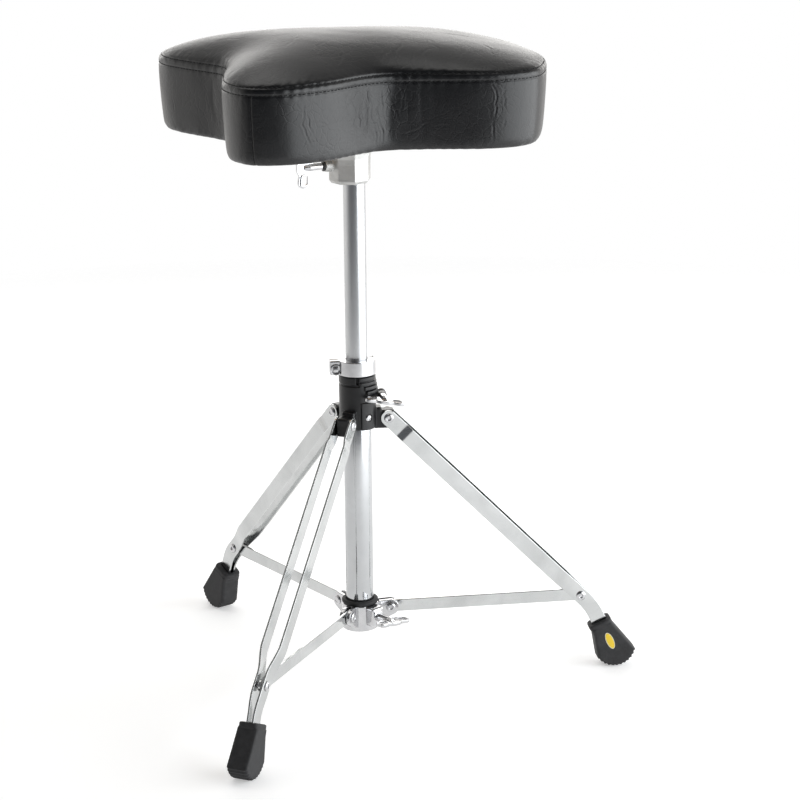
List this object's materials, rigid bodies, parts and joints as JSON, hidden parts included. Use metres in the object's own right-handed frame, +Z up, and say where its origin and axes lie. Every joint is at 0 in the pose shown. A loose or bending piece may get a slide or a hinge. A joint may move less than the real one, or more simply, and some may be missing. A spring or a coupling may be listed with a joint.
{
  "type": "drum throne",
  "caption": "Padded black saddle seat on a height-adjustable chrome post, in a folding tripod with flat double-bar legs and large rubber feet.",
  "frame": {"origin": "middle of the whole object's footprint, on the floor; the column stands 37 mm to +X and 35 mm to -Y of it", "axes": "+Z up along the column, the seat faces -Y with its thigh notch, +X to the right of that front as seen from -Y"},
  "size_m": [0.4944, 0.4958, 0.6784],
  "materials": {
    "chrome": "polished",
    "cast_aluminium": "satin",
    "black_enamel": "satin",
    "nylon": "satin",
    "rubber": "matte",
    "vinyl": "satin",
    "plywood": "matte",
    "badge_enamel": "gloss"
  },
  "bodies": {
    "column": {"lower_tube": "chrome", "lower_tube_plug": "nylon", "top_hub": "black_enamel", "hub_bushing": "nylon", "hub_fixing_screw": "chrome", "hub_clamp_nut": "chrome"},
    "hub_wing_bolt": {"hub_wing_bolt": "chrome"},
    "memory_lock": {"memory_lock_front": "chrome", "memory_lock_pin": "chrome"},
    "memory_lock_gate": {"memory_lock_gate": "chrome"},
    "memory_lock_key_bolt": {"memory_lock_key_bolt": "chrome"},
    "post": {"post_tube": "chrome"},
    "seat": {"seat_cushion": "vinyl", "seat_board": "plywood", "seat_bracket": "cast_aluminium", "seat_screw_1": "chrome", "seat_screw_2": "chrome", "seat_screw_3": "chrome", "seat_screw_4": "chrome", "seat_bolt_washer": "black_enamel"},
    "seat_wing_bolt": {"seat_wing_bolt": "chrome"},
    "sliding_hub": {"lower_hub": "chrome", "lower_hub_ring": "black_enamel"},
    "lower_wing_bolt": {"lower_wing_bolt": "chrome"},
    "leg_1": {"leg_1_left_bar": "chrome", "leg_1_right_bar": "chrome", "leg_1_foot": "rubber", "leg_1_foot_badge": "badge_enamel", "leg_1_pivot_bolt": "chrome", "leg_1_pivot_nut": "chrome", "leg_1_brace_bolt_left": "chrome", "leg_1_brace_bolt_right": "chrome"},
    "brace_1": {"brace_1": "chrome", "brace_1_hub_bolt": "chrome", "brace_1_hub_nut": "chrome"},
    "leg_2": {"leg_2_left_bar": "chrome", "leg_2_right_bar": "chrome", "leg_2_foot": "rubber", "leg_2_foot_badge": "badge_enamel", "leg_2_pivot_bolt": "chrome", "leg_2_pivot_nut": "chrome", "leg_2_brace_bolt_left": "chrome", "leg_2_brace_bolt_right": "chrome"},
    "brace_2": {"brace_2": "chrome", "brace_2_hub_bolt": "chrome", "brace_2_hub_nut": "chrome"},
    "leg_3": {"leg_3_left_bar": "chrome", "leg_3_right_bar": "chrome", "leg_3_foot": "rubber", "leg_3_foot_badge": "badge_enamel", "leg_3_pivot_bolt": "chrome", "leg_3_pivot_nut": "chrome", "leg_3_brace_bolt_left": "chrome", "leg_3_brace_bolt_right": "chrome"},
    "brace_3": {"brace_3": "chrome", "brace_3_hub_bolt": "chrome", "brace_3_hub_nut": "chrome"}
  },
  "joints": [
    {"name": "tripod_fold", "type": "slide", "parent": "column", "child": "sliding_hub", "axis": [0, 0, 1], "range_m": [0, 0.11992]},
    {"name": "leg_1_fold", "type": "hinge", "parent": "column", "child": "leg_1", "pos_m": [0.04483, -0.00511, 0.2833], "axis": [-0.9646, 0.2639, 0], "range_deg": [0, 41]},
    {"name": "brace_1_swing", "type": "hinge", "parent": "sliding_hub", "child": "brace_1", "pos_m": [0.04491, -0.00482, 0.0775], "axis": [-0.9646, 0.2639, 0], "range_deg": [0, 85.44]},
    {"name": "leg_2_fold", "type": "hinge", "parent": "column", "child": "leg_2", "pos_m": [0.00642, -0.04312, 0.2833], "axis": [0.2538, -0.9673, 0], "range_deg": [0, 41]},
    {"name": "brace_2_swing", "type": "hinge", "parent": "sliding_hub", "child": "brace_2", "pos_m": [0.00613, -0.04319, 0.0775], "axis": [0.2538, -0.9673, 0], "range_deg": [0, 85.44]},
    {"name": "leg_3_fold", "type": "hinge", "parent": "column", "child": "leg_3", "pos_m": [0.05855, -0.05738, 0.2833], "axis": [0.7108, 0.7034, 0], "range_deg": [0, 41]},
    {"name": "brace_3_swing", "type": "hinge", "parent": "sliding_hub", "child": "brace_3", "pos_m": [0.05876, -0.05759, 0.0775], "axis": [0.7108, 0.7034, 0], "range_deg": [0, 85.44]},
    {"name": "post_turn", "type": "hinge", "parent": "column", "child": "memory_lock", "pos_m": [0.0366, -0.0352, 0.3376], "axis": [0, 0, 1], "continuous": true},
    {"name": "lock_gate_open", "type": "hinge", "parent": "memory_lock", "child": "memory_lock_gate", "pos_m": [0.03366, -0.01643, 0.3376], "axis": [0, 0, -1], "range_deg": [0, 60]},
    {"name": "lock_key_turn", "type": "hinge", "parent": "memory_lock", "child": "memory_lock_key_bolt", "pos_m": [0.03058, -0.05605, 0.3355], "axis": [0.9608, -0.2773, 0], "continuous": true},
    {"name": "post_height", "type": "slide", "parent": "memory_lock", "child": "post", "axis": [0, 0, 1], "range_m": [-0.145, 0.05]},
    {"name": "seat_lift", "type": "slide", "parent": "post", "child": "seat", "axis": [0, 0, 1], "range_m": [0, 0.06]},
    {"name": "seat_wing_turn", "type": "hinge", "parent": "seat", "child": "seat_wing_bolt", "pos_m": [0.0366, -0.0685, 0.5443], "axis": [0, -1, 0], "continuous": true},
    {"name": "hub_wing_turn", "type": "hinge", "parent": "column", "child": "hub_wing_bolt", "pos_m": [0.04307, -0.01105, 0.306], "axis": [0.9659, -0.2588, 0], "continuous": true},
    {"name": "lower_wing_turn", "type": "hinge", "parent": "sliding_hub", "child": "lower_wing_bolt", "pos_m": [0.06286, -0.02464, 0.0735], "axis": [0.9278, 0.373, 0], "continuous": true}
  ],
  "couplings": [
    {"joint": "leg_1_fold", "follows": "tripod_fold", "rad_per_m": 5.9672},
    {"joint": "brace_1_swing", "follows": "tripod_fold", "rad_per_m": 12.435},
    {"joint": "leg_2_fold", "follows": "tripod_fold", "rad_per_m": 5.9672},
    {"joint": "brace_2_swing", "follows": "tripod_fold", "rad_per_m": 12.435},
    {"joint": "leg_3_fold", "follows": "tripod_fold", "rad_per_m": 5.9672},
    {"joint": "brace_3_swing", "follows": "tripod_fold", "rad_per_m": 12.435}
  ]
}
